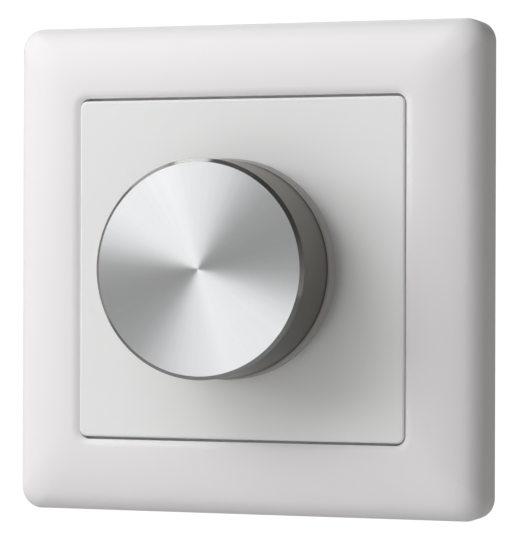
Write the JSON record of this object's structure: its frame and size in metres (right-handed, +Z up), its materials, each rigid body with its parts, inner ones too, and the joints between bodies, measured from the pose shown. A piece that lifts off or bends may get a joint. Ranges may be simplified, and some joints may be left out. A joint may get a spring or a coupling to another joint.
{
  "type": "rotary push dimmer switch",
  "caption": "Square white wall dimmer with a pillow-edged cover frame, flush centre plate and a turned metal knob that turns to dim and pushes to switch; insert for a round wall box.",
  "frame": {"origin": "centre of the wall plane, where the cover frame's back rim and the support plate's back lie", "axes": "+Z up, the front faces -Y, +X to the right seen from the front; the insert points along +Y into the wall"},
  "size_m": [0.08, 0.0543, 0.08],
  "materials": {
    "white_cover": "satin white moulded plastic",
    "knob_metal": "fine concentric turning on face and side, polished chamfer",
    "knob_grey": "matte aluminium-grey moulded plastic",
    "spring_steel": "bright spring steel",
    "shaft_steel": "turned steel",
    "nickel_plate": "nickel-plated brass",
    "zinc_sheet": "zinc-plated pressed sheet",
    "module_shell": "fine-textured moulded plastic",
    "zinc_screw": "zinc-plated",
    "rotor_plastic": "natural moulded plastic",
    "contact_brass": "plain stamped brass",
    "track_paper": "resin-bonded paper",
    "switch_black": "moulded plastic",
    "plunger_white": "moulded plastic",
    "board_green": "solder mask on laminate",
    "film_case": "moulded box",
    "can_sleeve": "shrunk sleeve",
    "ferrite": "pressed ferrite",
    "copper_wire": "enamelled copper wire",
    "fuse_body": "ceramic tube",
    "terminal_grey": "moulded plastic"
  },
  "bodies": {
    "fixed_part": {"cover_frame": "white_cover", "centre_plate": "white_cover", "plate_nut": "nickel_plate", "plate_washer": "nickel_plate", "bushing_nut": "nickel_plate", "lock_washer": "spring_steel", "threaded_bushing": "nickel_plate", "support_plate": "zinc_sheet", "module_lid": "module_shell", "module_housing": "module_shell", "housing_screws": "zinc_screw", "pot_case": "zinc_sheet", "track_board": "track_paper", "pot_leads": "contact_brass", "switch_body": "switch_black", "switch_cap": "switch_black", "switch_contacts": "contact_brass", "return_spring": "spring_steel", "circuit_board": "board_green", "board_screws": "zinc_screw", "film_capacitor": "film_case", "smoothing_capacitor": "can_sleeve", "choke_core": "ferrite", "choke_winding": "copper_wire", "fuse": "fuse_body", "power_transistors": "switch_black", "terminal_block": "terminal_grey", "terminal_cages": "contact_brass", "terminal_screws": "zinc_screw"},
    "plunger": {"switch_plunger": "plunger_white", "contact_bridge": "contact_brass"},
    "knob": {"knob_cap": "knob_metal", "knob_hub": "knob_grey", "grip_ring": "spring_steel", "control_shaft": "shaft_steel", "retaining_clip": "spring_steel"},
    "wiper": {"wiper_rotor": "rotor_plastic", "wiper_contact": "contact_brass"}
  },
  "joints": [
    {"name": "knob_push", "type": "slide", "parent": "fixed_part", "child": "plunger", "axis": [0, 1, 0], "range_m": [0, 0.0015], "stiffness_N_per_m": 3000, "springref_m": -0.001, "deforming": ["return_spring"]},
    {"name": "knob_turn", "type": "hinge", "parent": "plunger", "child": "knob", "pos_m": [0, 0, 0], "axis": [0, 1, 0], "range_deg": [-140, 140]},
    {"name": "wiper_turn", "type": "hinge", "parent": "fixed_part", "child": "wiper", "pos_m": [0, 0, 0], "axis": [0, 1, 0], "range_deg": [-140, 140]}
  ],
  "couplings": [
    {"joint": "wiper_turn", "follows": "knob_turn", "ratio": 1}
  ]
}
